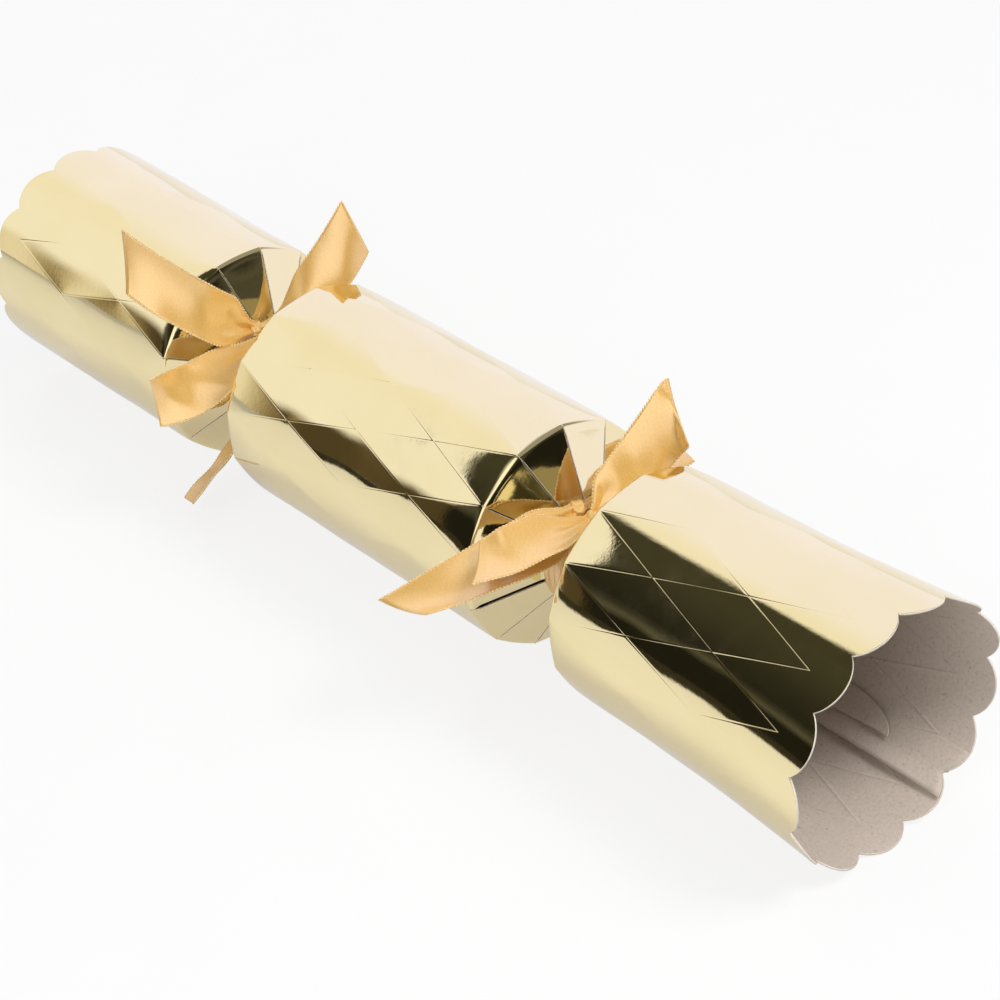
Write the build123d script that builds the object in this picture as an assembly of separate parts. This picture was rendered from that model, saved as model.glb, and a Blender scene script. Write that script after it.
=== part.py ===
from build123d import *
import math
import os

os.makedirs("parts", exist_ok=True)

# Driving dimensions, in millimetres and degrees

# Card tube: one scored sheet, rolled along X and closed by a lapped seam
columns = 13
tube_radius = 26.5
card_thickness = 0.45
row_pitch = 21.1
barrel_rows = 4
mouth_spread = 0.7
mouth_margin = 69.0
lobe_depth = 3.2
lobe_flat = 0.06
right_bell_twist = -2.7
left_bell_twist = 7.3
seam_outer_index = -5.07
seam_inner_index = -4.62
seam_end_inset = 1.2

# Necks: the strips of card fold in to a waist, where the ribbons are tied
neck_length = 25.4
flare_length = 7.4
waist_radius = 11.1
tear_inset = 1.5
tear_gap = 0.1

# Satin ribbon, two lengths at each neck, bunched to half width round the waist
ribbon_width = 12.0
ribbon_thickness = 0.4
band_thickness = 0.5
band_clearance = 0.2
band_gap = 0.1
gathered_width = 3.6
gather_share = 0.35
knot_radius = 2.3
right_knot_angle = 76.0
left_knot_angle = 69.0
left_low_angle = -35.0

# Snap: two narrow card strips that lap inside a paper sleeve
snap_length = 140.0
snap_lap = 50.0
snap_width = 4.0
snap_thickness = 0.5
snap_spacing = 0.3
snap_clearance = 0.25
snap_index = 2.5
charge_length = 14.0
charge_width = 3.0
charge_clearance = 0.05
sleeve_length = 58.0
sleeve_thickness = 0.3
sleeve_clearance = 0.2

# Contents of the barrel
rest_clearance = 0.3
crown_length = 52.0
crown_radius = 8.5
crown_hollow_radius = 3.2
crown_centre_x = -13.0
motto_length = 46.0
motto_thickness = 0.15
motto_opening = 30.0
leaf_gap = 0.05
rubber_band_width = 1.6
rubber_band_thickness = 1.1
top_radius = 12.0
top_rim_height = 5.0
top_cone_height = 7.0
top_shoulder_height = 2.5
top_point_radius = 0.8
top_stem_radius = 1.7
top_stem_length = 9.0
top_centre_x = 27.0

# Values worked out from these

step = 360 / columns
mouth_radius = tube_radius + mouth_spread
rest_index = -3.75
axis_height = tube_radius * math.cos(math.radians(step / 4))
barrel_half = barrel_rows * row_pitch / 2
neck_centre = barrel_half + neck_length / 2
waist_start = barrel_half + flare_length
waist_end = barrel_half + neck_length - flare_length
tear_x = waist_end - tear_inset
bell_start = barrel_half + neck_length
cusp_x = bell_start + mouth_margin
lobe_x = cusp_x + lobe_depth - lobe_flat
mouth_lift = mouth_radius - axis_height
fold_angle = math.atan2(tube_radius - waist_radius, flare_length)
fold_shift = card_thickness * math.tan(fold_angle / 2)
cut_past = 2.0


def angle_of(index, twist=0.0):
    """Degrees round the tube from the front towards the top, for a column of the score lattice."""
    return -90 + (index - rest_index) * step + twist


def at_angle(x, radius, angle, lift=0.0):
    """A point at a radius from the tube's middle and an angle from the front towards the top."""
    turn = math.radians(angle)
    return Vector(x, -radius * math.cos(turn), axis_height + lift + radius * math.sin(turn))


def around(x, radius, index, twist=0.0, lift=0.0):
    """A point of the tube at a place along it, a radius and a column of the lattice."""
    return at_angle(x, radius, angle_of(index, twist), lift)


def solid_of(outlines):
    """A closed solid from flat outlines."""
    faces = [Face(Wire.make_polygon(outline, close=True)) for outline in outlines]
    return Solid(Shell(faces))


def barrel_form(layer, past):
    """The faceted barrel with both folded necks, a number of card layers in from its outside."""
    inset = layer * card_thickness
    fold = barrel_half - layer * fold_shift
    neck = waist_start - layer * fold_shift
    row = barrel_half - row_pitch
    end = tear_x - tear_gap / 2 + past
    radius = tube_radius - inset
    waist = waist_radius - inset
    outlines = []
    for column in range(columns):
        middle = column + 0.5
        after = column + 1
        for side in (-1, 1):
            edge = [around(side * fold, radius, column), around(side * fold, radius, after)]
            throat = [around(side * neck, waist, after), around(side * neck, waist, column)]
            rim = [around(side * end, waist, column), around(side * end, waist, after)]
            outlines.append(edge + [around(side * row, radius, middle)])
            outlines.append(edge + throat)
            outlines.append(throat[::-1] + rim[::-1])
        for corner in (column, after):
            outlines.append([
                around(-fold, radius, corner), around(-row, radius, middle),
                around(row, radius, middle), around(fold, radius, corner),
            ])
    for side in (-1, 1):
        outlines.append([around(side * end, waist, column) for column in range(columns)])
    return solid_of(outlines)


def bell_form(side, twist, layer, past):
    """One end of the cracker: waist, folded flare, score facets and the round mouth."""
    inset = layer * card_thickness
    radius = tube_radius - inset
    waist = waist_radius - inset
    mouth = mouth_radius - inset
    start = side * (tear_x + tear_gap / 2 - past)
    neck = side * (waist_end + layer * fold_shift)
    fold = side * (bell_start + layer * fold_shift)
    row = side * (bell_start + row_pitch)
    end = side * (lobe_x + past)
    outlines = []
    for column in range(columns):
        middle = column + 0.5
        after = column + 1
        rim = [around(start, waist, column, twist), around(start, waist, after, twist)]
        throat = [around(neck, waist, after, twist), around(neck, waist, column, twist)]
        edge = [around(fold, radius, column, twist), around(fold, radius, after, twist)]
        apex = around(row, radius, middle, twist)
        lip = around(end, mouth, middle, twist, mouth_lift)
        outlines.append(rim + throat)
        outlines.append(edge + throat)
        outlines.append(edge + [apex])
        for corner, fold_point in ((column, edge[0]), (after, edge[1])):
            cusp = around(end, mouth, corner, twist, mouth_lift)
            outlines.append([fold_point, cusp, lip])
            outlines.append([fold_point, lip, apex])
    halves = [column / 2 for column in range(2 * columns)]
    outlines.append([around(start, waist, column, twist) for column in range(columns)])
    outlines.append([around(end, mouth, half, twist, mouth_lift) for half in halves])
    return solid_of(outlines)


def seam_wedge(low_x, high_x, twist):
    """The sector of the tube where the sheet laps over itself."""
    reach = 2 * tube_radius
    ends = [around(low_x, reach, index, twist) for index in (seam_outer_index, seam_inner_index)]
    sector = Face(Wire.make_polygon([Vector(low_x, 0, axis_height), *ends], close=True))
    return extrude(sector, amount=high_x - low_x, dir=(1, 0, 0))


def card_shell(form, low_x, high_x, twist):
    """A wall one card thick, and two thick along the lapped seam."""
    single = form(1, cut_past) - seam_wedge(low_x, high_x, twist)
    return form(0, 0) - single - form(2, cut_past)


def mouth_notch(side, column, twist):
    """The space between two lobes of a scalloped mouth, cut right through the wall."""
    half_lobe = mouth_radius * math.sin(math.radians(step / 2))
    arc_radius = (half_lobe**2 + lobe_depth**2) / (2 * lobe_depth)
    quarter_x = half_lobe / 2
    quarter_y = math.sqrt(arc_radius**2 - quarter_x**2) - (arc_radius - lobe_depth)
    outline = make_face([
        ThreePointArc((-half_lobe, lobe_depth), (-quarter_x, quarter_y), (0, 0)),
        ThreePointArc((0, 0), (quarter_x, quarter_y), (half_lobe, lobe_depth)),
        Polyline(
            (half_lobe, lobe_depth), (half_lobe, lobe_depth + cut_past),
            (-half_lobe, lobe_depth + cut_past), (-half_lobe, lobe_depth),
        ),
    ])
    angle = math.radians(angle_of(column, twist))
    outwards = (0, -math.cos(angle), math.sin(angle))
    inner = mouth_radius - 4 * cut_past
    origin = around(side * cusp_x, inner, column, twist, mouth_lift)
    across = Vector(side, 0, 0).cross(Vector(*outwards))
    notch = Plane(origin=origin, x_dir=across, z_dir=outwards) * outline
    return extrude(notch, amount=6 * cut_past, dir=outwards)


def barrel_card():
    inset = barrel_half - seam_end_inset
    return card_shell(barrel_form, -inset, inset, 0.0)


def bell_card(side, twist):
    ends = sorted((side * (bell_start + seam_end_inset), side * (lobe_x + 2 * cut_past)))
    shell = card_shell(lambda layer, past: bell_form(side, twist, layer, past), *ends, twist)
    return shell - [mouth_notch(side, column, twist) for column in range(columns)]


# Ribbon tails: where round the waist one leaves, which is its knot or the low side of the waist,
# then the control point and end of its middle line, the way across at root and end, and its slant
# A place is a shift along X from the neck's middle, a distance outside the tube and an angle round it
# The short tail lies over the long one, and the back tail stays behind the one that stands up

right_long_tail = (
    right_knot_angle, (5.1, -2.2, 38.8), (-12.5, 17.3, 6.1), (0.66, 0.18, -0.73), (0.41, -0.9, -0.15), 10.2)
right_short_tail = (
    right_knot_angle, (4.8, 4.8, 37.3), (-2.7, 7.3, 24.3), (0.99, 0.11, 0.03), (0.36, -0.88, -0.31), -1.0)
right_up_tail = (
    right_knot_angle, (1.2, -9.6, 116.5), (5.2, 9.0, 122.7), (0.75, 0.37, -0.55), (-0.15, -0.6, -0.79), 8.5)
right_back_tail = (
    right_knot_angle, (-0.6, -2.1, 147.0), (-1.5, 2.9, 151.1), (0.96, -0.01, 0.28), (0.97, 0.09, 0.21), 5.5)
left_raised_tail = (
    left_knot_angle, (1.0, -0.3, 49.5), (-18.6, 17.3, 51.9), (0.37, -0.75, -0.56), (-0.21, -0.59, -0.78), 8.8)
left_up_tail = (
    left_knot_angle, (4.2, -7.8, 116.6), (5.5, 11.7, 124.7), (0.79, -0.11, 0.6), (0.43, 0.65, -0.63), 7.7)
left_low_tail = (
    left_knot_angle, (4.0, 2.4, 15.5), (-2.0, 9.4, 11.6), (1.0, -0.03, 0.08), (0.31, 0.19, -0.93), 0.2)
left_floor_tail = (
    left_low_angle, (2.5, -2.9, -27.9), (2.2, 12.2, -32.4), (0.83, -0.35, 0.44), (0.7, 0.15, 0.69), 0.5)


def beside_tube(neck_x, shift, clear, angle):
    """A place beside a neck."""
    return at_angle(neck_x + shift, tube_radius + clear, angle)


def ribbon_tail(root, control, end, across_root, across_end, slant):
    """A flat strip along a curved middle line, bunched at its root and cut at a slant."""
    stations = 6
    sections = []
    for station in range(stations + 1):
        t = station / stations
        middle = root * (1 - t)**2 + control * (2 * t * (1 - t)) + end * t**2
        along = ((control - root) * (1 - t) + (end - control) * t).normalized()
        across = Vector(*across_root) * (1 - t) + Vector(*across_end) * t
        across = (across - along * across.dot(along)).normalized()
        normal = along.cross(across).normalized()
        spread = min(1.0, t / gather_share)
        half = (gathered_width + (ribbon_width - gathered_width) * spread) / 2
        skew = along * (slant / 2 * max(0.0, 2 * t - 1))
        lift = normal * (ribbon_thickness / 2)
        first = middle - across * half + skew
        second = middle + across * half - skew
        corners = [first - lift, second - lift, second + lift, first + lift]
        sections.append(Face(Wire.make_polygon(corners, close=True)))
    return loft(sections, ruled=True)


def ribbon_band(low_x, high_x):
    """A ribbon's turn round the waist."""
    inner = waist_radius + band_clearance
    length = high_x - low_x
    ring = Cylinder(inner + band_thickness, length) - Cylinder(inner, length)
    return Pos((low_x + high_x) / 2, 0, axis_height) * Rot(Y=90) * ring


def tied_ribbon(neck_x, half, knot_angle, tails):
    """One length of ribbon: its turn on one half of the waist, its half of the knot and two tails."""
    band_edge = neck_length / 2 - flare_length - band_gap
    low_x, high_x = sorted((neck_x + half * band_gap / 2, neck_x + half * band_edge))
    middle_x = (low_x + high_x) / 2
    band_inner = waist_radius + band_clearance
    knot = at_angle(middle_x, band_inner + knot_radius, knot_angle)
    ribbon = ribbon_band(low_x, high_x) + Pos(*knot) * Sphere(knot_radius)
    for leaves, control, end, *rest in tails:
        root = knot if leaves == knot_angle else at_angle(middle_x, band_inner + band_thickness / 2, leaves)
        ribbon = ribbon + ribbon_tail(root, beside_tube(neck_x, *control), beside_tube(neck_x, *end), *rest)
    return ribbon


def right_ribbon(half, tails):
    return tied_ribbon(neck_centre, half, right_knot_angle, tails)


def left_ribbon(half, tails):
    return tied_ribbon(-neck_centre, half, left_knot_angle, tails)


left_half = -1
right_half = 1


# Snap and contents

def on_radius(x, radius, angle):
    """A frame at a place in the tube, with its Z pointing outwards at an angle."""
    return Pos(x, 0, axis_height) * Rot(X=90 - angle) * Pos(0, 0, radius)


snap_angle = angle_of(snap_index)
waist_flat = (waist_radius - card_thickness) * math.cos(math.radians(step / 2))
upper_strip = waist_flat - snap_clearance - snap_thickness / 2
lower_strip = upper_strip - snap_thickness - snap_spacing


def snap_strip(side, radius):
    length = (snap_length + snap_lap) / 2
    strip = Box(length, snap_width, snap_thickness)
    return on_radius(side * (snap_length - length) / 2, radius, snap_angle) * strip


def snap_charge():
    thickness = snap_spacing - charge_clearance
    radius = lower_strip + (snap_thickness + thickness) / 2
    return on_radius(0, radius, snap_angle) * Box(charge_length, charge_width, thickness)


def snap_sleeve():
    height = upper_strip - lower_strip + snap_thickness + 2 * sleeve_clearance
    width = snap_width + 2 * sleeve_clearance
    wall = 2 * sleeve_thickness
    tube = Box(sleeve_length, width + wall, height + wall) - Box(sleeve_length, width, height)
    return on_radius(0, (upper_strip + lower_strip) / 2, snap_angle) * tube


motto_inner = crown_radius + leaf_gap
motto_outer = motto_inner + motto_thickness
rubber_band_inner = motto_outer + leaf_gap
rubber_band_outer = rubber_band_inner + rubber_band_thickness
floor_inside = card_thickness + rest_clearance
roll_height = floor_inside + rubber_band_outer
lying_along_x = Pos(crown_centre_x, 0, roll_height) * Rot(Y=90)


def paper_crown():
    roll = Cylinder(crown_radius, crown_length) - Cylinder(crown_hollow_radius, crown_length)
    return lying_along_x * roll


def motto_slip():
    leaf = Cylinder(motto_outer, motto_length) - Cylinder(motto_inner, motto_length)
    reach = 2 * motto_outer
    half_opening = math.radians(motto_opening / 2)
    side_y = reach * math.sin(half_opening)
    side_x = reach * math.cos(half_opening)
    wedge = Polygon((0, 0), (side_x, -side_y), (side_x, side_y), align=None)
    opening = extrude(wedge, motto_length, both=True)
    return lying_along_x * (leaf - opening)


def rubber_band():
    ring = Cylinder(rubber_band_outer, rubber_band_width) - Cylinder(rubber_band_inner, rubber_band_width)
    return lying_along_x * ring


def spinning_top():
    rim_low = top_cone_height
    rim_high = rim_low + top_rim_height
    shoulder = rim_high + top_shoulder_height
    outline = Polyline(
        (0, 0), (top_point_radius, 0), (top_radius, rim_low), (top_radius, rim_high),
        (top_stem_radius, shoulder), (top_stem_radius, shoulder + top_stem_length),
        (0, shoulder + top_stem_length), close=True,
    )
    turned = revolve(Plane.XZ * make_face(outline), Axis.Z)
    middle = rim_low + top_rim_height / 2
    return Pos(top_centre_x - middle, 0, floor_inside + top_radius) * Rot(Y=90) * turned


pieces = {
    "barrel_card": barrel_card(),
    "right_bell_card": bell_card(1, right_bell_twist),
    "left_bell_card": bell_card(-1, left_bell_twist),
    "right_inner_ribbon": right_ribbon(left_half, [right_long_tail, right_back_tail]),
    "right_outer_ribbon": right_ribbon(right_half, [right_short_tail, right_up_tail]),
    "left_outer_ribbon": left_ribbon(left_half, [left_raised_tail, left_up_tail]),
    "left_inner_ribbon": left_ribbon(right_half, [left_low_tail, left_floor_tail]),
    "right_snap_strip": snap_strip(1, upper_strip),
    "left_snap_strip": snap_strip(-1, lower_strip),
    "snap_charge": snap_charge(),
    "snap_sleeve": snap_sleeve(),
    "paper_crown": paper_crown(),
    "motto_slip": motto_slip(),
    "rubber_band": rubber_band(),
    "spinning_top": spinning_top(),
}
for name, piece in pieces.items():
    export_step(piece, f"parts/{name}.step")
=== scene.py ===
import math

import bmesh
import bpy
from mathutils import Matrix, Vector, noise


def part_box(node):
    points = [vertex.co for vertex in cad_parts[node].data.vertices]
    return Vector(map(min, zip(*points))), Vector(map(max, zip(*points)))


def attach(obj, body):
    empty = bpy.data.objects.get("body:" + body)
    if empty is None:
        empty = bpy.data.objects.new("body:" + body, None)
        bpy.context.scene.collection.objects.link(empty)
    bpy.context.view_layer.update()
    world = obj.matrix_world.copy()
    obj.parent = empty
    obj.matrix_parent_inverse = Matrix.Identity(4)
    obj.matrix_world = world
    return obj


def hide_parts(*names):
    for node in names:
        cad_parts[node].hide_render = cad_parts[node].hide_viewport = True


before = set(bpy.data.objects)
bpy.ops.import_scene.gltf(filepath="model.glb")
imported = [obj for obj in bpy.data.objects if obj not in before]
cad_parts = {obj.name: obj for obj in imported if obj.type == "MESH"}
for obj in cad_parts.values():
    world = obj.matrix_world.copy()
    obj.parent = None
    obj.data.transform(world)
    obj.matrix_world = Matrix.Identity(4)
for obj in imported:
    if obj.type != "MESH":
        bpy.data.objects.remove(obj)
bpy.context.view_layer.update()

# Lengths below are millimetres and angles are degrees, as in the solids; meshes are scaled to metres
MM = 0.001

# Card tube
columns = 13
step = 360 / columns
rest_index = -3.75
tube_radius = 26.5
card_thickness = 0.45
card_inside = 1
card_edge = 2
row_pitch = 21.1
barrel_rows = 4
mouth_spread = 0.7
mouth_margin = 69.0
lobe_depth = 3.2
right_bell_twist = -2.7
left_bell_twist = 7.3
seam_outer_index = -5.07
seam_inner_index = -4.62
seam_end_inset = 1.2

# The right mouth is pressed a little out of round: wider, swayed to the front, lifted and turned
right_mouth_spread = 1.35
right_mouth_sway = -0.75
right_mouth_lift = 0.77
right_mouth_turn = 0.3
right_mouth_oval = (0.89, -1.21)
right_mouth_power = 2.08

# Inner layer of the lapped seam, whose free edge stands off the wall, and the tab of the right end
lap_lift = 1.2
lap_lift_at_mouth = 0.35
tongue_start = 103.0
tongue_tip = 122.4
tongue_low_index = -4.97
tongue_width = 0.52
tongue_lift = 0.6
tongue_lift_start = 110.0
tongue_lift_reach = 12.0
tongue_lean = 0.07
tongue_roundness = 2.5
tongue_bluntness = 0.6
tongue_least_width = 0.002
tongue_clearance = 0.25
lap_clearance = 0.02
lap_mouth_inset = 0.1
lap_ease = 6.0

# Necks
neck_length = 25.4
flare_length = 7.4
waist_radius = 11.1
waist_round = 1.3
tear_inset = 1.5
tear_gap = 0.1
tear_roughness = 0.5
slit_gap = 0.2
open_slit_gap = 0.55
open_slit_column = -1

# Scores and small unevenness of the card
flatness = 0.23
right_bell_flatness = 0.18
fold_flatness = 0.1
left_fold_flatness = 0.5
fold_straightness = 0.6
groove_depth = 0.026
groove_width = 0.08
ridge_height = 0.1
ridge_width = 0.22
far_from_scores = 99.0
wave_height = 0.05
wave_length = 17.0
fold_round = 0.03
fold_reach = 5.0
seam_step_width = 0.006
seam_step_depth = 0.24
seam_step_reach = 3.0
seam_side = -0.25 * tube_radius
score_spacing = 12.2
score_slant = 0.29

# Ribbon
ribbon_width = 12.0
ribbon_thickness = 0.28
gathered_width = 3.2
gather_share = 0.35
pleats = 2
pleat_height = 0.55
pleat_share = 1.3 * gather_share
crumple_height = 0.4
cup_height = 0.9
cup_balance = 0.3
wave_of_ribbon = 0.45
wave_turn = 7.0
ripple_of_ribbon = 0.16
ripple_turn = 17.0
ripple_lean = 1.5
band_clearance = 0.2
band_gap = 0.1
band_thickness = 0.5
band_ridges = 3
band_ridge_height = 0.35
band_ridge_sway = 0.12
band_droop = 0.25
knot_radius = 2.3
knot_form = (0.95, 0.9, 0.7)
knot_creases = 2.5
knot_crease_depth = 0.22
knot_crease_lean = 1.6
right_knot_angle = 76.0
left_knot_angle = 69.0
left_low_angle = -35.0
bead_spacing = 0.8
bead_radius = 0.3
bead_waist = 0.25
bead_sight = 0.3

# Contents
crown_radius = 8.5
crown_hollow_radius = 3.2
crown_unevenness = 0.1
crown_turns = 9
crown_thickness = 0.1
motto_radius = 8.68
motto_unevenness = 0.02
motto_thickness = 0.14
roll_step = 9.0
roll_wave = 9.0

# Values worked out from these
axis_height = tube_radius * math.cos(math.radians(step / 4))
barrel_half = barrel_rows * row_pitch / 2
neck_centre = barrel_half + neck_length / 2
waist_start = barrel_half + flare_length
waist_end = barrel_half + neck_length - flare_length
tear_x = waist_end - tear_inset
bell_start = barrel_half + neck_length
cusp_x = bell_start + mouth_margin
lobe_x = cusp_x + lobe_depth
mouth_radius = tube_radius + mouth_spread
mouth_lift = mouth_radius - axis_height
sagitta = 1 - math.cos(math.radians(step / 2))


def smooth(value):
    """A share that eases in and out between 0 and 1."""
    value = min(1.0, max(0.0, value))
    return value * value * (3 - 2 * value)


def blend3(first, corner, last, t):
    """A point on the rounded corner between three points."""
    return first * (1 - t)**2 + corner * (2 * t * (1 - t)) + last * t**2


# Meshes

class Surface:
    """The points and faces of one mesh, in millimetres, with a map for woven threads or for the scores."""

    def __init__(self):
        self.points = []
        self.faces = []
        self.marks = []
        self.places = []

    def grid(self, rows, mark=0, closed=False, place=None):
        """Four-sided faces between rows of as many points each."""
        start = len(self.points)
        width = len(rows[0])
        for j, row in enumerate(rows):
            for i, point in enumerate(row):
                self.points.append(point)
                self.places.append(place[j][i] if place else (0.0, 0.0))
        for j in range(len(rows) - 1):
            for i in range(width if closed else width - 1):
                a = start + j * width + i
                b = start + j * width + (i + 1) % width
                self.faces.append((a, b, b + width, a + width))
                self.marks.append(mark)

    def mesh(self, name, merge=0.004):
        """A mesh in metres, with equal points joined."""
        made = bpy.data.meshes.new(name)
        made.from_pydata([tuple(p * MM) for p in self.points], [], self.faces)
        made.polygons.foreach_set("material_index", self.marks)
        layer = made.uv_layers.new(name="UVMap")
        for loop in made.loops:
            layer.data[loop.index].uv = self.places[loop.vertex_index]
        work = bmesh.new()
        work.from_mesh(made)
        bmesh.ops.remove_doubles(work, verts=work.verts, dist=merge * MM)
        bmesh.ops.dissolve_degenerate(work, edges=work.edges, dist=0.001 * MM)
        bmesh.ops.recalc_face_normals(work, faces=work.faces)
        work.to_mesh(made)
        work.free()
        made.polygons.foreach_set("use_smooth", [True] * len(made.polygons))
        return made


def new_object(name, mesh, materials):
    made = bpy.data.objects.new(name, mesh)
    bpy.context.scene.collection.objects.link(made)
    for material in materials:
        mesh.materials.append(material)
    return made


def thicken(thing, thickness, offset, inner_mark, rim_mark):
    """A second face behind the first, and a rim, as part of the mesh."""
    wall = thing.modifiers.new("wall", "SOLIDIFY")
    wall.thickness = thickness * MM
    wall.offset = offset
    wall.material_offset = inner_mark
    wall.material_offset_rim = rim_mark
    bpy.context.view_layer.update()
    graph = bpy.context.evaluated_depsgraph_get()
    made = bpy.data.meshes.new_from_object(thing.evaluated_get(graph))
    thing.modifiers.clear()
    old = thing.data
    thing.data = made
    bpy.data.meshes.remove(old)


def face_outwards(mesh):
    """Turns a tube's faces so that they point away from its middle line."""
    total = 0.0
    for face in mesh.polygons:
        away = Vector((0, face.center.y, face.center.z - axis_height * MM))
        total += face.normal.dot(away) * face.area
    if total < 0:
        mesh.flip_normals()


# Card

def raise_scores(mesh):
    """Each score stands out as a fine ridge on the inside of the card."""
    layer = mesh.uv_layers["UVMap"]
    nearest = {}
    for face in mesh.polygons:
        if face.material_index == card_inside:
            for loop, vertex in zip(face.loop_indices, face.vertices):
                edge = layer.data[loop].uv.x
                nearest[vertex] = min(edge, nearest.get(vertex, edge))
    for vertex, edge in nearest.items():
        point = mesh.vertices[vertex].co
        inwards = Vector((0, -point.y, axis_height * MM - point.z)).normalized()
        mesh.vertices[vertex].co = point + inwards * (ridge_height * math.exp(-(edge / ridge_width)**2) * MM)


def angle_of(index, twist=0.0):
    return -90 + (index - rest_index) * step + twist


def at_angle(x, radius, angle, lift=0.0):
    turn = math.radians(angle)
    return Vector((x, -radius * math.cos(turn), axis_height + lift + radius * math.sin(turn)))


def wobble(point):
    """Slight waves of the card, the same at every run."""
    return wave_height * noise.noise(point / wave_length)


def fine_levels():
    """Places along a score or across a facet, close together beside the score lines."""
    first_half = [0, 0.006, 0.013, 0.03, 0.07, 0.14, 0.23, 0.36, 0.5]
    return first_half + [1 - level for level in first_half[-2::-1]]


levels = fine_levels()
corner_stops = (0.25, 0.5, 0.75, 1)
across_levels = [2 * level - 1 for level in (0, 0.006, 0.014, 0.04, 0.1, 0.22, 0.36)]
across_levels = across_levels + [0] + [-level for level in across_levels[::-1]]


round_mouth = {
    "spread": mouth_spread, "sway": 0.0, "lift": mouth_lift,
    "turn": 0.0, "oval": (0, 0), "power": 1.0,
}
pressed_mouth = {
    "spread": right_mouth_spread, "sway": right_mouth_sway, "lift": right_mouth_lift,
    "turn": right_mouth_turn, "oval": right_mouth_oval, "power": right_mouth_power,
}


class Tube:
    """A stretch of the card tube, from its first fold along X, with its turn and the form of its mouth."""

    def __init__(self, start, way, rows, twist, mouth=None):
        self.start = start
        self.way = way
        self.rows = rows
        self.twist = twist
        self.flares = mouth is not None
        self.mouth_form = mouth or round_mouth
        self.flatness = right_bell_flatness if mouth is pressed_mouth else flatness
        self.surface = Surface()

    def share(self, x):
        """How far a place has come from the fold to the mouth."""
        share = (abs(x) - bell_start) / (lobe_x - bell_start) if self.flares else 0.0
        return max(0.0, share)**self.mouth_form["power"]

    def point(self, x, index, ratio, sink=0.0):
        form = self.mouth_form
        share = self.share(x)
        angle = angle_of(index, self.twist + form["turn"] * share)
        double = 2 * math.radians(angle)
        oval = form["oval"][0] * math.cos(double) + form["oval"][1] * math.sin(double)
        radius = (tube_radius + (form["spread"] + oval) * share) * ratio
        away = Vector((0, form["sway"] * share, form["lift"] * share))
        place = at_angle(x, radius, angle) + away
        return at_angle(x, radius - sink + wobble(place), angle) + away

    def row_x(self, row):
        return self.start + self.way * row * row_pitch

    def diamond(self, centre_row, centre):
        """One scored diamond: a little flatter than the round tube, with a fine groove along its edges."""
        rows = []
        scores = []
        for u in levels:
            line = []
            beside = []
            for v in levels:
                s = u + v - 1
                width = 1 - abs(s)
                across = (u - v) / width if width > 0.001 else 0.0
                dent = self.flatness * sagitta * width**2 * (3 - 2 * width) * (1 - across**2)
                edge = min(u, v, 1 - u, 1 - v) * score_spacing
                groove = groove_depth * math.exp(-(edge / groove_width)**2)
                x = self.row_x(centre_row + s)
                line.append(self.point(x, centre + (u - v) / 2, 1 - dent, groove))
                beside.append((edge, 0.0))
            rows.append(line)
            scores.append(beside)
        self.surface.grid(rows, place=scores)

    def triangle_point(self, fold_row, inwards, column, share, across):
        """A point on the half diamond beside a fold: straight across at the fold, round further in."""
        width = 1 - share
        middle = column + 0.5
        index = middle + across * width / 2
        flat = math.cos(math.radians(width * step / 2)) / math.cos(math.radians((index - middle) * step))
        flatter = fold_flatness if self.flares or fold_row else left_fold_flatness
        straight = max(flatter, fold_straightness)
        bend = flatter + (straight - flatter) * math.exp(-share * row_pitch / fold_reach)
        edge = self.triangle_edge(share, across)
        groove = groove_depth * math.exp(-(edge / groove_width)**2)
        x = self.row_x(fold_row + inwards * share)
        return self.point(x, index, 1 - bend * (1 - flat), groove)

    def triangle_edge(self, share, across):
        """How far a point of the half diamond is from its scores."""
        return (1 - abs(across)) * (1 - share) * score_spacing / 2

    def triangle(self, fold_row, inwards, column):
        rows = []
        scores = []
        for share in levels:
            if share >= fold_round:
                rows.append([
                    self.triangle_point(fold_row, inwards, column, share, across) for across in across_levels
                ])
                scores.append([(self.triangle_edge(share, across), 0.0) for across in across_levels])
        self.surface.grid(rows, place=scores)

    def strip(self, fold_row, inwards, column, waist_x, end_x, slits):
        """A strip of the neck: it folds in from the tube's edge to the waist and ends at the tear."""
        fold_x = self.row_x(fold_row)
        rounding = fold_round * row_pitch
        stations = 15
        rows = [[] for _ in range(stations)]
        for across in across_levels:
            gap = slits[0] if across < 0 else slits[1]
            lead = self.triangle_point(fold_row, inwards, column, fold_round, across)

            def between(x, radius, inset):
                first = at_angle(x, radius, angle_of(column, self.twist))
                second = at_angle(x, radius, angle_of(column + 1, self.twist))
                width = (second - first).length
                place = across * (1 - 2 * inset / width)
                return first.lerp(second, (place + 1) / 2)

            fold = self.triangle_point(fold_row, inwards, column, 0, across)
            fold_in = between(fold_x, tube_radius, gap)
            waist = between(waist_x, waist_radius, gap)
            tear = tear_roughness * noise.noise(Vector((across * 3.0, column * 1.7, waist_x)))
            end = between(end_x, waist_radius, gap) + Vector((tear, 0, 0))
            down = (waist - fold_in).normalized()
            on = (end - waist).normalized()
            flare_first = fold + down * rounding
            flare_last = waist - down * waist_round
            waist_first = waist + on * min(waist_round, (end - waist).length / 2)
            line = [lead]
            line += [blend3(lead, fold, flare_first, t) for t in corner_stops]
            second = fold_in + down * (3 * rounding)
            line += [second]
            line += [second.lerp(flare_last, t) for t in (0.3, 0.65, 1)]
            line += [blend3(flare_last, waist, waist_first, t) for t in corner_stops]
            line += [waist_first.lerp(end, t) for t in (0.5, 1)]
            for station in range(stations):
                rows[station].append(line[station])
        scores = [[(far_from_scores, 0.0)] * len(across_levels)] * stations
        self.surface.grid(rows, place=scores)

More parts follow.
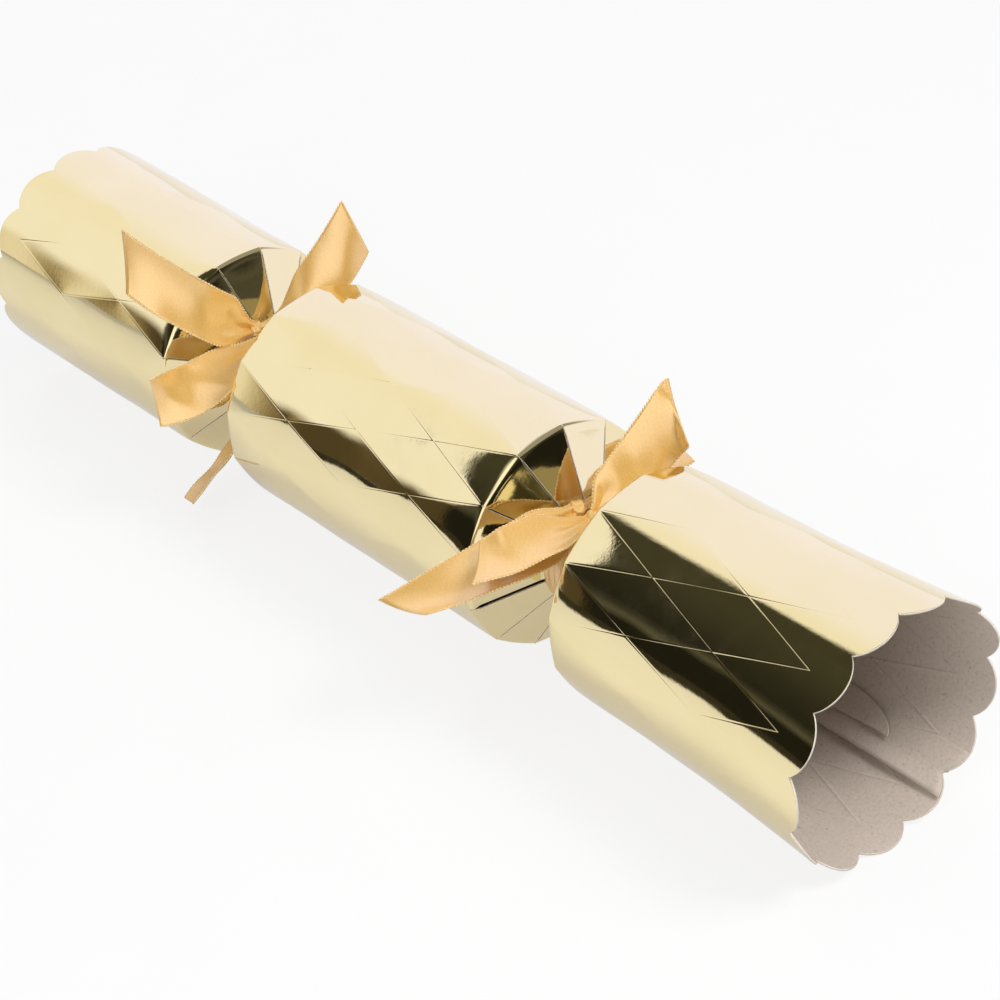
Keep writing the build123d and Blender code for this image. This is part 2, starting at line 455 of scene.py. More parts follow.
    def mouth(self, column):
        """The round part past the last scores, out to a scalloped lobe."""
        last_row = self.rows
        for side in (0, 1):
            rows = [[] for _ in levels]
            scores = [[] for _ in levels]
            for t in levels:
                index = column + (t / 2 if side == 0 else 1 - t / 2)
                score_x = self.row_x(last_row - 1 + t)
                edge_x = self.way * mouth_edge(index)
                for k, level in enumerate(levels):
                    x = score_x + (edge_x - score_x) * level
                    edge = abs(x - score_x) * score_slant
                    groove = groove_depth * math.exp(-(edge / groove_width)**2)
                    rows[k].append(self.point(x, index, 1, groove))
                    scores[k].append((edge, 0.0))
            self.surface.grid(rows, place=scores)


def mouth_edge(index):
    """How far along the tube a scalloped mouth reaches at a column of the lattice."""
    half_lobe = mouth_radius * math.sin(math.radians(step / 2))
    arc_radius = (half_lobe**2 + lobe_depth**2) / (2 * lobe_depth)
    from_middle = half_lobe * 2 * abs(index - math.floor(index) - 0.5)
    return cusp_x + math.sqrt(arc_radius**2 - from_middle**2) - (arc_radius - lobe_depth)


def slit_gaps(column, side):
    """Half the gap at both edges of a neck strip; one slit at the right neck stands open."""
    gaps = []
    for edge in (column, column + 1):
        opened = side > 0 and edge % columns == open_slit_column % columns
        gaps.append(open_slit_gap if opened else slit_gap)
    return gaps


def barrel_surface():
    tube = Tube(-barrel_half, 1, barrel_rows, 0.0)
    for column in range(columns):
        for row in (1, 2, 3):
            tube.diamond(row, column + (0.5 if row == 2 else 0))
        for fold_row, inwards, side in ((0, 1, -1), (barrel_rows, -1, 1)):
            tube.triangle(fold_row, inwards, column)
            end_x = side * (tear_x - tear_gap / 2)
            tube.strip(fold_row, inwards, column, side * waist_start, end_x, slit_gaps(column, side))
    return tube


def bell_surface(side, twist, mouth):
    tube = Tube(side * bell_start, side, 3, twist, mouth)
    for column in range(columns):
        tube.diamond(1, column)
        tube.diamond(2, column + 0.5)
        tube.triangle(0, 1, column)
        end_x = side * (tear_x + tear_gap / 2)
        tube.strip(0, 1, column, side * waist_end, end_x, slit_gaps(column, side))
        tube.mouth(column)
    return tube


def lap_surface(tube, low_x, high_x):
    """The end of the sheet that goes under the lapped seam, seen inside the tube."""
    surface = Surface()
    reach = seam_inner_index - seam_outer_index
    widths = 12
    lengths = 40
    rows = []
    for k in range(widths + 1):
        index = seam_outer_index - reach + 2 * reach * k / widths
        sink = card_thickness * smooth((index - seam_outer_index + reach) / reach) + lap_clearance
        free = smooth((index - seam_outer_index) / reach)
        far = min(high_x, mouth_edge(index) - lap_mouth_inset) if tube.flares else high_x
        line = []
        for j in range(lengths + 1):
            along = low_x + (far - low_x) * j / lengths
            lift = lap_lift + (lap_lift_at_mouth - lap_lift) * smooth(2 * tube.share(along) - 1)
            ends = smooth((along - low_x) / lap_ease)
            line.append(tube.point(tube.way * along, index, 1, sink + lift * free * ends * tube.flares))
        rows.append(line)
    surface.grid(rows)
    return surface


def seam_step(mesh, tube, low_x, high_x):
    """The cut edge of the outer layer along the lapped seam; the card beside it lies lower."""
    work = bmesh.new()
    work.from_mesh(mesh)
    ends = (tube.way * low_x, tube.way * high_x)
    for index in (seam_outer_index, seam_outer_index - seam_step_width):
        first, last = (tube.point(x, index, 1) * MM for x in ends)
        outwards = (first - Vector((first.x, 0, axis_height * MM))).normalized()
        sideways = outwards.cross(last - first).normalized()
        if sideways.dot(tube.point(ends[0], index + 1, 1) * MM - first) < 0:
            sideways = -sideways
        near = []
        for face in work.faces:
            middle = face.calc_center_median()
            within = low_x < tube.way * middle.x / MM < high_x
            if within and (middle - first).dot(outwards) > seam_side * MM:
                near.append(face)
        edges = {edge for face in near for edge in face.edges}
        points = {point for face in near for point in face.verts}
        cut = bmesh.ops.bisect_plane(
            work, geom=[*points, *edges, *near], dist=0.002 * MM, plane_co=first, plane_no=sideways)
        for made in cut["geom_cut"]:
            if isinstance(made, bmesh.types.BMEdge):
                made.smooth = False
    for point in work.verts:
        along = tube.way * point.co.x / MM
        beside = -(point.co - first).dot(sideways) / MM
        away = (point.co - first).dot(outwards) / MM
        if low_x <= along and beside > -0.01 and away > seam_side:
            fade = smooth((along - low_x) / seam_step_reach)
            if not tube.flares:
                fade *= smooth((high_x - along) / seam_step_reach)
            point.co -= outwards * (seam_step_depth * fade * math.exp(-beside / seam_step_reach) * MM)
    work.to_mesh(mesh)
    work.free()


def tongue_surface(tube):
    """The pointed tab of the seam, pushed through a slit and lying on the inside of the right end."""
    reach = seam_inner_index - seam_outer_index
    lengths = 24
    widths = 10
    surface = Surface()
    rows = []
    for k in range(lengths + 1):
        share = math.sin(math.pi / 2 * k / lengths)
        x = tongue_start + (tongue_tip - tongue_start) * share
        low_index = tongue_low_index - tongue_lean * share
        width = tongue_width * (1 - share**tongue_roundness)**tongue_bluntness + tongue_least_width
        line = []
        for q in range(widths + 1):
            index = low_index - width * q / widths
            under = card_thickness * smooth((index - seam_outer_index + reach) / reach)
            lift = tongue_lift * smooth((x - tongue_lift_start) / tongue_lift_reach)
            line.append(tube.point(x, index, 1, under + card_thickness + tongue_clearance + lift))
        rows.append(line)
    surface.grid(rows)
    return surface


# Materials

def new_material(name):
    made = bpy.data.materials.new(name)
    made.use_nodes = True
    nodes = made.node_tree.nodes
    return made, made.node_tree, nodes["Principled BSDF"]


def add_node(tree, kind, **values):
    made = tree.nodes.new(kind)
    for key, value in values.items():
        if key in made.inputs:
            made.inputs[key].default_value = value
        else:
            setattr(made, key, value)
    return made


def noise_texture(tree, scale, detail=3.0, stretch=(1, 1, 1), source="Object"):
    """Noise on the object's own place, in metres, stretched by a mapping."""
    place = add_node(tree, "ShaderNodeTexCoord")
    mapping = add_node(tree, "ShaderNodeMapping")
    mapping.inputs["Scale"].default_value = stretch
    grain = add_node(tree, "ShaderNodeTexNoise")
    grain.inputs["Scale"].default_value = scale
    grain.inputs["Detail"].default_value = detail
    tree.links.new(place.outputs[source], mapping.inputs["Vector"])
    tree.links.new(mapping.outputs["Vector"], grain.inputs["Vector"])
    return grain.outputs["Fac"]


def ramp(tree, source, stops):
    """A colour ramp of (place, colour) stops."""
    made = add_node(tree, "ShaderNodeValToRGB")
    elements = made.color_ramp.elements
    while len(elements) < len(stops):
        elements.new(0.5)
    for element, (place, colour) in zip(elements, stops):
        element.position = place
        element.color = (*colour, 1)
    tree.links.new(source, made.inputs["Fac"])
    return made.outputs["Color"]


def to_range(tree, source, low, high, out_low, out_high):
    made = add_node(tree, "ShaderNodeMapRange", interpolation_type="SMOOTHSTEP")
    for key, value in zip(("From Min", "From Max", "To Min", "To Max"), (low, high, out_low, out_high)):
        made.inputs[key].default_value = value
    tree.links.new(source, made.inputs["Value"])
    return made.outputs["Result"]


def math_node(tree, operation, first, second):
    made = add_node(tree, "ShaderNodeMath", operation=operation)
    for socket, value in zip(made.inputs, (first, second)):
        if isinstance(value, (int, float)):
            socket.default_value = value
        else:
            tree.links.new(value, socket)
    return made.outputs["Value"]


def times(tree, first, *others):
    for other in others:
        first = math_node(tree, "MULTIPLY", first, other)
    return first


def mix_colour(tree, share, first, second):
    """A blend of two colours, each worked out or fixed."""
    made = add_node(tree, "ShaderNodeMix", data_type="RGBA")
    tree.links.new(share, made.inputs["Factor"])
    for socket, value in ((made.inputs[6], first), (made.inputs[7], second)):
        if isinstance(value, tuple):
            socket.default_value = (*value, 1)
        else:
            tree.links.new(value, socket)
    return made.outputs[2]


def mix_shader(tree, share, first, second):
    made = add_node(tree, "ShaderNodeMixShader")
    for socket, value in zip(made.inputs, (share, first, second)):
        tree.links.new(value, socket)
    return made.outputs["Shader"]


def bump(tree, height, distance, below=None):
    made = add_node(tree, "ShaderNodeBump")
    made.inputs["Distance"].default_value = distance
    tree.links.new(height, made.inputs["Height"])
    if below is not None:
        tree.links.new(below, made.inputs["Normal"])
    return made.outputs["Normal"]


def gold_material():
    made, tree, shader = new_material("mirror_gold_card")
    shader.inputs["Metallic"].default_value = 1.0
    clouds = noise_texture(tree, 45.0)
    colour = ramp(tree, clouds, [(0.3, (0.90, 0.775, 0.425)), (0.7, (0.925, 0.80, 0.46))])
    tree.links.new(colour, shader.inputs["Base Color"])
    rubs = to_range(tree, noise_texture(tree, 260.0), 0.3, 0.7, 0.035, 0.065)
    tree.links.new(rubs, shader.inputs["Roughness"])
    peel = bump(tree, noise_texture(tree, 900.0, 1.0), 0.0000035)
    fibre = bump(tree, noise_texture(tree, 2400.0, 1.0), 0.000002, peel)
    tree.links.new(fibre, shader.inputs["Normal"])
    return made


def board_material():
    made, tree, shader = new_material("grey_board")
    fibres = noise_texture(tree, 1500.0, 6.0)
    colour = ramp(tree, fibres, [
        (0.2, (0.45, 0.38, 0.325)), (0.5, (0.53, 0.455, 0.39)), (0.8, (0.58, 0.51, 0.445)),
    ])
    specks = to_range(tree, noise_texture(tree, 1500.0, 1.0), 0.22, 0.32, 0.4, 0)
    tree.links.new(mix_colour(tree, specks, colour, (0.2, 0.16, 0.13)), shader.inputs["Base Color"])
    shader.inputs["Roughness"].default_value = 0.9
    tree.links.new(bump(tree, noise_texture(tree, 2200.0, 4.0), 0.000012), shader.inputs["Normal"])
    return made


def cut_material():
    made, tree, shader = new_material("cut_card_edge")
    grain = noise_texture(tree, 1800.0, 4.0)
    colour = ramp(tree, grain, [(0.3, (0.60, 0.54, 0.45)), (0.7, (0.72, 0.66, 0.57))])
    tree.links.new(colour, shader.inputs["Base Color"])
    shader.inputs["Roughness"].default_value = 0.75
    tree.links.new(bump(tree, grain, 0.00003), shader.inputs["Normal"])
    return made


def satin_material(name, dark, light, woven):
    """Satin, whose long threads draw its shine out across the ribbon."""
    made, tree, shader = new_material(name)
    if woven:
        warp = noise_texture(tree, 1.0, 1.0, (5.0, 1.6, 1.0), "UV")
        threads = add_node(tree, "ShaderNodeTangent", direction_type="UV_MAP", uv_map="UVMap")
        tree.links.new(threads.outputs["Tangent"], shader.inputs["Tangent"])
        shader.inputs["Anisotropic"].default_value = 0.5
    else:
        warp = noise_texture(tree, 2200.0, 2.0)
    tree.links.new(ramp(tree, warp, [(0.3, dark), (0.7, light)]), shader.inputs["Base Color"])
    shader.inputs["Metallic"].default_value = 0.05
    shader.inputs["Roughness"].default_value = 0.3
    shader.inputs["IOR"].default_value = 3.4
    shader.inputs["Specular Tint"].default_value = (1.0, 0.93, 0.76, 1.0)
    shader.inputs["Sheen Weight"].default_value = 0.12
    shader.inputs["Sheen Roughness"].default_value = 0.4
    shader.inputs["Sheen Tint"].default_value = (1.0, 0.9, 0.7, 1.0)
    tree.links.new(bump(tree, warp, 0.000018), shader.inputs["Normal"])
    return made


def paper_material(name, dark, light, scale, depth):
    made, tree, shader = new_material(name)
    grain = noise_texture(tree, scale, 5.0)
    tree.links.new(ramp(tree, grain, [(0.3, dark), (0.7, light)]), shader.inputs["Base Color"])
    shader.inputs["Roughness"].default_value = 0.85
    tree.links.new(bump(tree, noise_texture(tree, 2 * scale, 4.0), depth), shader.inputs["Normal"])
    return made


def wood_material():
    made, tree, shader = new_material("turned_wood")
    grain = noise_texture(tree, 90.0, 6.0, (1, 9, 9))
    colour = ramp(tree, grain, [(0.3, (0.42, 0.24, 0.11)), (0.7, (0.66, 0.44, 0.23))])
    tree.links.new(colour, shader.inputs["Base Color"])
    shader.inputs["Roughness"].default_value = 0.42
    shader.inputs["Coat Weight"].default_value = 0.3
    tree.links.new(bump(tree, grain, 0.00006), shader.inputs["Normal"])
    return made


gold = gold_material()
board = board_material()
cut_edge = cut_material()
satin = satin_material("gold_satin", (0.70, 0.39, 0.08), (0.84, 0.495, 0.13), True)
satin_edge = satin_material("gold_satin_selvedge", (0.74, 0.46, 0.14), (0.88, 0.62, 0.28), False)
snap_card = paper_material("snap_card", (0.42, 0.35, 0.26), (0.62, 0.55, 0.44), 900.0, 0.00004)
snap_paper = paper_material("snap_paper", (0.74, 0.71, 0.63), (0.86, 0.84, 0.77), 700.0, 0.00003)
compound = paper_material("snap_compound", (0.06, 0.055, 0.06), (0.2, 0.19, 0.2), 1500.0, 0.0001)
tissue = paper_material("red_tissue", (0.42, 0.03, 0.04), (0.62, 0.07, 0.08), 500.0, 0.00006)
motto_paper = paper_material("motto_paper", (0.80, 0.78, 0.72), (0.90, 0.89, 0.84), 900.0, 0.00002)
rubber = paper_material("rubber", (0.46, 0.28, 0.13), (0.58, 0.38, 0.2), 600.0, 0.00003)
wood = wood_material()


# Card pieces

card_materials = (gold, board, cut_edge)


def card_piece(name, node, body, tube, lap_span, tongued=False):
    mesh = tube.surface.mesh(name)
    face_outwards(mesh)
    seam_step(mesh, tube, *lap_span)
    piece = new_object(name, mesh, card_materials)
    thicken(piece, card_thickness, -1, card_inside, card_edge)
    raise_scores(piece.data)
    inner_layers = {"_lap": lap_surface(tube, *lap_span)}
    if tongued:
        inner_layers["_tongue"] = tongue_surface(tube)
    pieces = [piece]
    for ending, surface in inner_layers.items():
        layer = new_object(name + ending, surface.mesh(name + ending), card_materials)
        face_outwards(layer.data)
        thicken(layer, card_thickness, -1, card_inside, card_edge)
        pieces.append(layer)
    for made in pieces:
        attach(made, body)
    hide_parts(node)


card_piece(
    "barrel_sheet", "barrel_card", "barrel", barrel_surface(),
    (seam_end_inset - barrel_half, barrel_half - seam_end_inset))
bell_span = (bell_start + seam_end_inset, lobe_x)
card_piece(
    "right_bell_sheet", "right_bell_card", "right_end", bell_surface(1, right_bell_twist, pressed_mouth),
    bell_span, True)
card_piece(
    "left_bell_sheet", "left_bell_card", "left_end", bell_surface(-1, left_bell_twist, round_mouth),
    bell_span)


# Ribbons, along the same middle lines as the solids

right_long_tail = (
    right_knot_angle, (5.1, -2.2, 38.8), (-12.5, 17.3, 6.1), (0.66, 0.18, -0.73), (0.41, -0.9, -0.15), 10.2)
right_short_tail = (
    right_knot_angle, (4.8, 4.8, 37.3), (-2.7, 7.3, 24.3), (0.99, 0.11, 0.03), (0.36, -0.88, -0.31), -1.0)
right_up_tail = (
    right_knot_angle, (1.2, -9.6, 116.5), (5.2, 9.0, 122.7), (0.75, 0.37, -0.55), (-0.15, -0.6, -0.79), 8.5)
right_back_tail = (
    right_knot_angle, (-0.6, -2.1, 147.0), (-1.5, 2.9, 151.1), (0.96, -0.01, 0.28), (0.97, 0.09, 0.21), 5.5)
left_raised_tail = (
    left_knot_angle, (1.0, -0.3, 49.5), (-18.6, 17.3, 51.9), (0.37, -0.75, -0.56), (-0.21, -0.59, -0.78), 8.8)
left_up_tail = (
    left_knot_angle, (4.2, -7.8, 116.6), (5.5, 11.7, 124.7), (0.79, -0.11, 0.6), (0.43, 0.65, -0.63), 7.7)
left_low_tail = (
    left_knot_angle, (4.0, 2.4, 15.5), (-2.0, 9.4, 11.6), (1.0, -0.03, 0.08), (0.31, 0.19, -0.93), 0.2)
left_floor_tail = (
    left_low_angle, (2.5, -2.9, -27.9), (2.2, 12.2, -32.4), (0.83, -0.35, 0.44), (0.7, 0.15, 0.69), 0.5)


def beside_tube(neck_x, shift, clear, angle):
    return at_angle(neck_x + shift, tube_radius + clear, angle)


def tail_rows(root, control, end, across_root, across_end, slant):
    """Points of a tail: pleated where it leaves the knot, flat further out, and cut at a slant."""
    lengths = 44
    widths = 28
    rows = []
    for k in range(lengths + 1):
        t = k / lengths
        middle = blend3(root, control, end, t)
        along = ((control - root) * (1 - t) + (end - control) * t).normalized()
        across = Vector(across_root).lerp(Vector(across_end), t)
        across = (across - along * across.dot(along)).normalized()
        normal = along.cross(across).normalized()
        spread = smooth(t / gather_share)
        half = (gathered_width + (ribbon_width - gathered_width) * spread) / 2
        gathered = 1 - smooth(t / pleat_share)
        line = []
        for i in range(widths + 1):
            q = 2 * i / widths - 1
            skew = along * (-q * slant / 2 * max(0.0, 2 * t - 1))
            crumple = noise.noise(Vector((1.9 * q, 3.5 * t, root.x + slant)))
            pleat = pleat_height * math.cos(math.pi * pleats * q + slant)
            wave = wave_of_ribbon * math.sin(wave_turn * t + slant)
            ripple = ripple_of_ribbon * math.sin(ripple_turn * t + ripple_lean * q + 2 * slant)
            lift = gathered * (pleat + crumple_height * crumple)
            lift += spread * (cup_height * (q * q - cup_balance) + wave + ripple)
            line.append(middle + across * (half * q) + normal * lift + skew)
        rows.append(line)
    return rows


def running_length(points):
    total = [0.0]
    for first, second in zip(points, points[1:]):
        total.append(total[-1] + (second - first).length)
    return total


def point_along(points, total, place):
    for k in range(1, len(points)):
        if total[k] >= place:
            part = (place - total[k - 1]) / max(total[k] - total[k - 1], 1e-9)
            return points[k - 1].lerp(points[k], part)
    return points[-1]


def beaded_edge(surface, points):
    """A row of small thread loops along an edge of the ribbon."""
    total = running_length(points)
    count = int(total[-1] / bead_spacing)
    rings_per_bead = 4
    sides = 6
    rows = []
    for k in range(count * rings_per_bead + 1):
        place = k * bead_spacing / rings_per_bead
        middle = point_along(points, total, place)
        ahead = point_along(points, total, min(place + bead_sight, total[-1]))
        behind = point_along(points, total, max(place - bead_sight, 0))
        along = (ahead - behind).normalized()
        side = along.orthogonal().normalized()
        other = along.cross(side)
        swell = abs(math.sin(math.pi * k / rings_per_bead))
        radius = bead_radius * (bead_waist + (1 - bead_waist) * swell)
        rows.append([
            middle + (side * math.cos(turn) + other * math.sin(turn)) * radius
            for turn in (2 * math.pi * s / sides for s in range(sides))
        ])
    surface.grid(rows, closed=True)


def band_rows(low_x, high_x):
    """A turn of ribbon round the waist, bunched into ridges."""
    turns = 72
    widths = 16
    rows = []
    for k in range(turns + 1):
        angle = 360 * k / turns
        line = []
        for i in range(widths + 1):
            q = i / widths
            sway = band_ridge_sway * math.sin(math.radians(3 * angle))
            ridge = band_ridge_height * abs(math.sin(math.pi * (band_ridges * q + sway)))
            droop = band_droop * (2 * q - 1)**2
            radius = waist_radius + band_clearance + band_thickness / 2 + ridge - droop
            line.append(at_angle(low_x + (high_x - low_x) * q, radius, angle))
        rows.append(line)
    return rows


def knot_rows(centre, angle):
    """Half a knot: the ribbon's own wrap, drawn tight into creases."""
    rings = 18
    sides = 36
    outwards = at_angle(0, 1, angle) - at_angle(0, 0, angle)
    sideways = Vector((1, 0, 0)).cross(outwards)
    long, wide, deep = knot_form
    rows = []
    for k in range(rings + 1):
        polar = math.pi * k / rings
        line = []
        for s in range(sides):
            turn = 2 * math.pi * s / sides
            fold = abs(math.sin(knot_creases * turn + knot_crease_lean * math.cos(polar)))
            crease = 1 - knot_crease_depth * fold * math.sin(polar)
            flat = (
                Vector((1, 0, 0)) * (long * math.cos(polar))
                + sideways * (wide * math.sin(polar) * math.cos(turn))
                + outwards * (deep * math.sin(polar) * math.sin(turn))
            )
            line.append(centre + flat * (knot_radius * crease))
        rows.append(line)
    return rows


def place_map(rows):
    """Map places in millimetres: across the ribbon, then along it."""
    along = running_length([row[len(row) // 2] for row in rows])
    width = len(rows[0]) - 1
    return [[(ribbon_width * i / width, along[j]) for i in range(width + 1)] for j in range(len(rows))]


def ribbon_piece(name, node, neck_x, half, knot_angle, tails):
    band_edge = neck_length / 2 - flare_length - band_gap
    low_x, high_x = sorted((neck_x + half * band_gap / 2, neck_x + half * band_edge))
    middle_x = (low_x + high_x) / 2
    band_inner = waist_radius + band_clearance
    knot = at_angle(middle_x, band_inner + knot_radius, knot_angle)
    cloth = Surface()
    edges = Surface()
    for leaves, control, end, *rest in tails:
        root = knot if leaves == knot_angle else at_angle(middle_x, band_inner + band_thickness / 2, leaves)
        rows = tail_rows(root, beside_tube(neck_x, *control), beside_tube(neck_x, *end), *rest)
        cloth.grid(rows, place=place_map(rows))
        for side in (0, -1):
            beaded_edge(edges, [row[side] for row in rows])
    rows = band_rows(low_x, high_x)
    cloth.grid(rows, place=place_map(rows))
    rows = knot_rows(knot, knot_angle)
    cloth.grid(rows, closed=True, place=place_map(rows))
    piece = new_object(name, cloth.mesh(name), (satin,))
    thicken(piece, ribbon_thickness, 0, 0, 0)
    trim = new_object(name + "_selvedge", edges.mesh(name + "_selvedge", 0.0005), (satin_edge,))
    for made in (piece, trim):
        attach(made, "barrel")
    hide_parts(node)


left_half = -1
right_half = 1
ribbon_piece(
    "right_inner_satin", "right_inner_ribbon", neck_centre, left_half, right_knot_angle,
    [right_long_tail, right_back_tail])
ribbon_piece(
    "right_outer_satin", "right_outer_ribbon", neck_centre, right_half, right_knot_angle,
    [right_short_tail, right_up_tail])
ribbon_piece(
    "left_outer_satin", "left_outer_ribbon", -neck_centre, left_half, left_knot_angle,
    [left_raised_tail, left_up_tail])
ribbon_piece(
    "left_inner_satin", "left_inner_ribbon", -neck_centre, right_half, left_knot_angle,
    [left_low_tail, left_floor_tail])


# Crown of tissue, rolled up, and the motto curled round it

def rolled_piece(name, node, material, inner, outer, angles, thickness, unevenness):
    """A sheet of paper rolled along X in the place of its solid, from the first angle to the last."""
    low, high = (Vector(corner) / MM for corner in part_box(node))
    middle = (low + high) / 2
    first_angle, last_angle = angles
    steps = int((last_angle - first_angle) / roll_step)
    widths = 12
    rows = []
    for k in range(steps + 1):
        share = k / steps
        turn = math.radians(first_angle + (last_angle - first_angle) * share)
        shift = 3 * unevenness * noise.noise(Vector((turn / 3, 0.5, outer)))
        line = []
        for i in range(widths + 1):
            x = low.x + (high.x - low.x) * i / widths
            bend = unevenness * noise.noise(Vector((x / roll_wave, math.cos(turn), math.sin(turn))))
            radius = inner + (outer - inner) * share + bend
            line.append(Vector((x + shift, -radius * math.cos(turn), middle.z + radius * math.sin(turn))))
        rows.append(line)
    paper = Surface()
    paper.grid(rows)
    piece = new_object(name, paper.mesh(name), (material,))
    thicken(piece, thickness, 0, 0, 0)
    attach(piece, "barrel")
    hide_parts(node)


crown_angles = (-90.0, -90.0 + crown_turns * 360.0)
motto_angles = (-75.0, 255.0)
rolled_piece(
    "tissue_crown", "paper_crown", tissue,
    crown_hollow_radius, crown_radius - crown_unevenness, crown_angles,
    crown_thickness, crown_unevenness)
rolled_piece(
    "motto_leaf", "motto_slip", motto_paper,
    motto_radius, motto_radius, motto_angles, motto_thickness, motto_unevenness)


# Snap, band and gift keep their solids

node_materials = {
    "right_snap_strip": snap_card, "left_snap_strip": snap_card, "snap_charge": compound,
    "snap_sleeve": snap_paper, "rubber_band": rubber, "spinning_top": wood,
}
for node, material in node_materials.items():
    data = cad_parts[node].data
    data.materials.clear()
    data.materials.append(material)


# Studio: pale floor, soft lamps, and a room of pale walls, for the mirror card, with a dark opening
# and a softbox towards the camera, a grey ceiling and a dark right side

ceiling_grey = (0.34, 0.33, 0.32)
softbox_white = (1.16, 1.16, 1.17)
wall_colours = [
    (0.1, (0.98, 0.98, 1.06)), (0.5, (0.97, 0.95, 0.97)), (0.65, (0.97, 0.95, 0.98)),
    (0.88, (1.0, 1.0, 1.25)), (1.0, (1.0, 1.0, 1.3)),
]
gap_colours = [
    (0.0, (0.88, 0.84, 0.78)), (0.2, (0.64, 0.57, 0.45)), (0.5, (0.30, 0.24, 0.15)),
    (0.85, (0.12, 0.09, 0.05)), (1.0, (0.08, 0.06, 0.032)),
]
dark_colours = [
    (0.0, (0.0135, 0.013, 0.0095)), (0.2, (0.0135, 0.013, 0.0095)), (0.26, (0.09, 0.086, 0.066)),
    (0.31, (0.04, 0.038, 0.028)), (0.36, (0.02, 0.0195, 0.014)), (0.55, (0.028, 0.027, 0.019)),
    (0.75, (0.052, 0.05, 0.033)),
]
white = (1, 1, 1, 1)
fill_strength = 0.33


def room_colours(tree):
    """The room by direction: x to the right, y to the back, z up."""
    place = add_node(tree, "ShaderNodeTexCoord")
    parts = add_node(tree, "ShaderNodeSeparateXYZ")
    tree.links.new(place.outputs["Generated"], parts.inputs["Vector"])
    x, y, z = (parts.outputs[axis] for axis in "XYZ")
    above = to_range(tree, z, -0.2, -0.12, 0, 1)
    facing = times(tree, to_range(tree, y, -0.07, -0.01, 1, 0), above)
    opening = times(tree, facing, to_range(tree, x, -0.644, -0.634, 0, 1))
    far_wall = times(tree, to_range(tree, y, 0.55, 0.7, 0, 1), to_range(tree, z, 0.3, 0.5, 1, 0))
    not_far = times(tree, above, math_node(tree, "SUBTRACT", 1.0, far_wall))
    right = times(tree, to_range(tree, x, 0.72, 0.82, 0, 1), not_far)
    ceiling = times(tree, to_range(tree, x, -0.52, -0.4, 0, 1), not_far)
    beside_camera = to_range(tree, x, 0.1, 0.3, 0, 1)
    over_camera = to_range(tree, z, 0.78, 0.88, 0, 1)
    near_camera = math_node(tree, "MAXIMUM", beside_camera, over_camera)
    softbox = times(tree, near_camera, to_range(tree, y, -0.35, -0.2, 1, 0), above)
    gap = times(tree, facing, to_range(tree, z, 0.2, 0.31, 1, 0))
    walls = ramp(tree, to_range(tree, y, -0.5, 0.4, 0, 1), wall_colours)
    gap_colour = ramp(tree, to_range(tree, x, -0.78, -0.68, 0, 1), gap_colours)
    room = mix_colour(tree, ceiling, walls, ceiling_grey)
    room = mix_colour(tree, gap, room, gap_colour)
    room = mix_colour(tree, math_node(tree, "MAXIMUM", opening, right), room, ramp(tree, z, dark_colours))
    return mix_colour(tree, softbox, room, softbox_white)


def studio_world():
    """White to the camera, the room to shine and mirrors, and an even fill for the rest."""
    world = bpy.data.worlds.new("studio")
    bpy.context.scene.world = world
    world.use_nodes = True
    tree = world.node_tree
    tree.nodes.clear()
    path = add_node(tree, "ShaderNodeLightPath")
    mirrored = add_node(tree, "ShaderNodeBackground")
    tree.links.new(room_colours(tree), mirrored.inputs["Color"])
    fill = add_node(tree, "ShaderNodeBackground", Color=white, Strength=fill_strength)
    backdrop = add_node(tree, "ShaderNodeBackground", Color=white, Strength=1.0)
    seen = math_node(tree, "MAXIMUM", path.outputs["Is Glossy Ray"], path.outputs["Is Transmission Ray"])
    light = mix_shader(tree, seen, fill.outputs[0], mirrored.outputs[0])
    light = mix_shader(tree, path.outputs["Is Camera Ray"], light, backdrop.outputs[0])
    output = add_node(tree, "ShaderNodeOutputWorld")
    tree.links.new(light, output.inputs["Surface"])


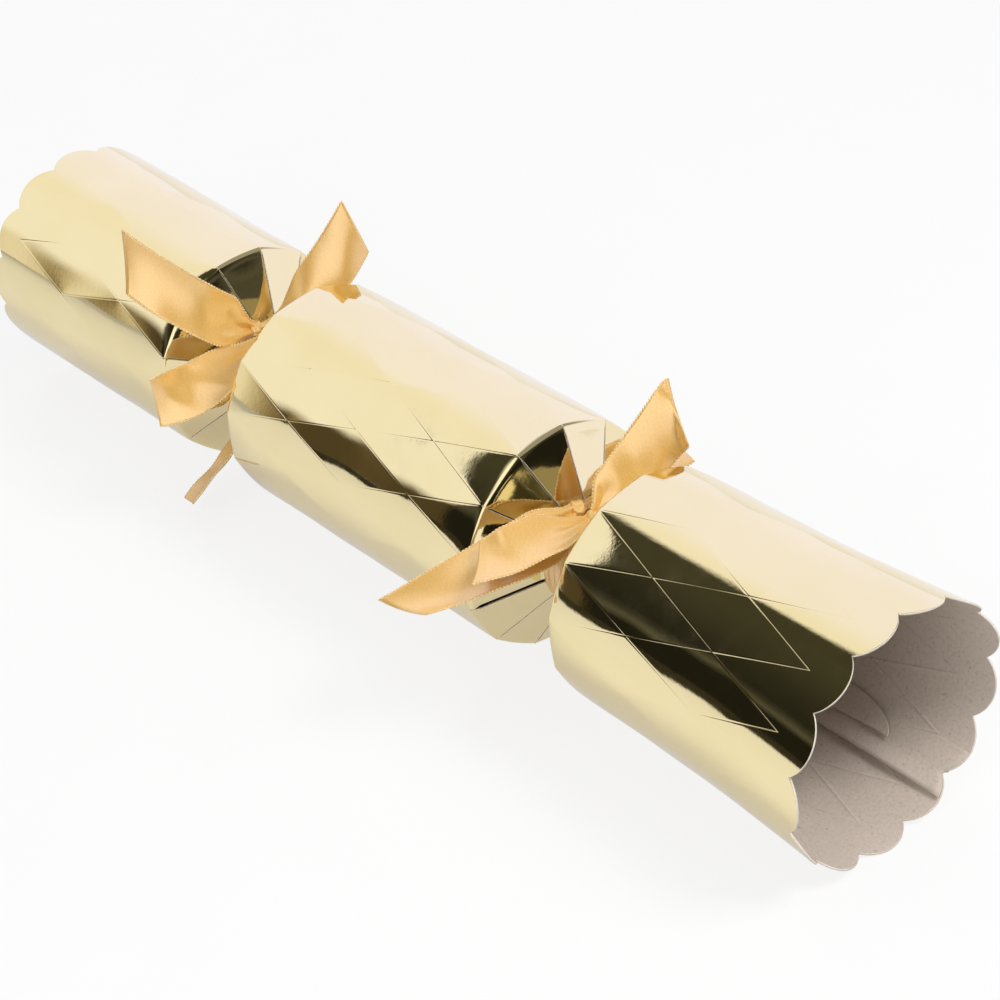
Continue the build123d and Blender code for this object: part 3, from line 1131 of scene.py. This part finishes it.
def floor_material():
    """White to the camera apart from shadows; in the mirror card it shows a painted pale reflection behind
    the cracker and a painted dark reflection far to the front.
    """
    made, tree, shader = new_material("studio_floor")
    shader.inputs["Roughness"].default_value = 0.9
    shader.inputs["Specular IOR Level"].default_value = 0.1
    colour = ramp(tree, noise_texture(tree, 40.0), [(0.3, (0.69, 0.69, 0.69)), (0.7, (0.71, 0.71, 0.71))])
    tree.links.new(colour, shader.inputs["Base Color"])
    glow = add_node(tree, "ShaderNodeEmission", Color=white, Strength=1.0)
    # Seen only by glossy rays: a painted dark reflection far to the front, and a painted pale reflection that
    # glows behind the cracker
    painted_dark_reflection = add_node(tree, "ShaderNodeEmission", Color=(0.035, 0.031, 0.02, 1), Strength=1.0)
    painted_pale_reflection = add_node(tree, "ShaderNodeEmission", Color=(1.0, 0.995, 1.13, 1), Strength=0.95)
    path = add_node(tree, "ShaderNodeLightPath")
    glossy = path.outputs["Is Glossy Ray"]
    place = add_node(tree, "ShaderNodeTexCoord")
    parts = add_node(tree, "ShaderNodeSeparateXYZ")
    tree.links.new(place.outputs["Object"], parts.inputs["Vector"])
    x, y = parts.outputs["X"], parts.outputs["Y"]
    edge = math_node(tree, "SUBTRACT", y, times(tree, x, 0.45))
    aside = math_node(tree, "SUBTRACT", x, times(tree, y, 0.93))
    dark_side = to_range(tree, aside, -0.16, -0.02, 0.15, 1)
    painted_dark_share = times(tree, to_range(tree, edge, -0.31, -0.24, 1, 0), dark_side)
    behind = to_range(tree, y, 0.03, 0.1, 0.4, 0.9)
    seen = times(tree, path.outputs["Is Camera Ray"], 0.82)
    floor = mix_shader(tree, seen, shader.outputs["BSDF"], glow.outputs["Emission"])
    # The mirror card sees the painted pale reflection behind the cracker and the painted dark reflection far
    # to the front
    floor = mix_shader(tree, times(tree, glossy, behind), floor, painted_pale_reflection.outputs["Emission"])
    floor = mix_shader(tree, times(tree, glossy, painted_dark_share), floor, painted_dark_reflection.outputs["Emission"])
    tree.links.new(floor, tree.nodes["Material Output"].inputs["Surface"])
    return made


def studio_floor():
    size = 3000.0
    drop = -0.25
    floor = Surface()
    floor.grid([
        [Vector((-size, -size, drop)), Vector((size, -size, drop))],
        [Vector((-size, size, drop)), Vector((size, size, drop))],
    ])
    made = new_object("studio_floor", floor.mesh("studio_floor"), (floor_material(),))


def lamp(name, place, target_x, size, power):
    """A square soft lamp that points at the cracker's middle line and leaves no spot in the mirror card."""
    light = bpy.data.lights.new(name, "AREA")
    light.size = size * MM
    light.energy = power
    made = bpy.data.objects.new(name, light)
    made.location = Vector(place) * MM
    aim = Vector((target_x, 0, axis_height)) * MM - made.location
    made.rotation_euler = aim.to_track_quat("-Z", "Y").to_euler()
    made.visible_glossy = False
    bpy.context.scene.collection.objects.link(made)


def photo_camera():
    """The photograph's view, from the fit of its score lines."""
    place = Vector((396.59, -293.36, 360.94))
    rightwards = Vector((0.6575, 0.7494, -0.0777))
    upwards = Vector((-0.3928, 0.4290, 0.8134))
    backwards = rightwards.cross(upwards)
    data = bpy.data.cameras.new("camera")
    data.sensor_width = 36.0
    data.lens = 95.625
    made = bpy.data.objects.new("camera", data)
    turn = Matrix((rightwards, upwards, backwards)).transposed().to_4x4()
    made.matrix_world = Matrix.Translation(place * MM) @ turn
    bpy.context.scene.collection.objects.link(made)
    bpy.context.scene.camera = made


studio_world()
studio_floor()
lamp("key_lamp", (250, -700, 480), 0, 600, 3.6)
lamp("top_lamp", (60, -50, 950), 0, 600, 1.2)
lamp("side_lamp", (-600, 250, 500), 0, 500, 1.5)
lamp("mouth_lamp", (480, 270, 640), lobe_x, 300, 4.8)
photo_camera()
bpy.context.scene.view_settings.view_transform = "Standard"

bpy.context.view_layer.update()
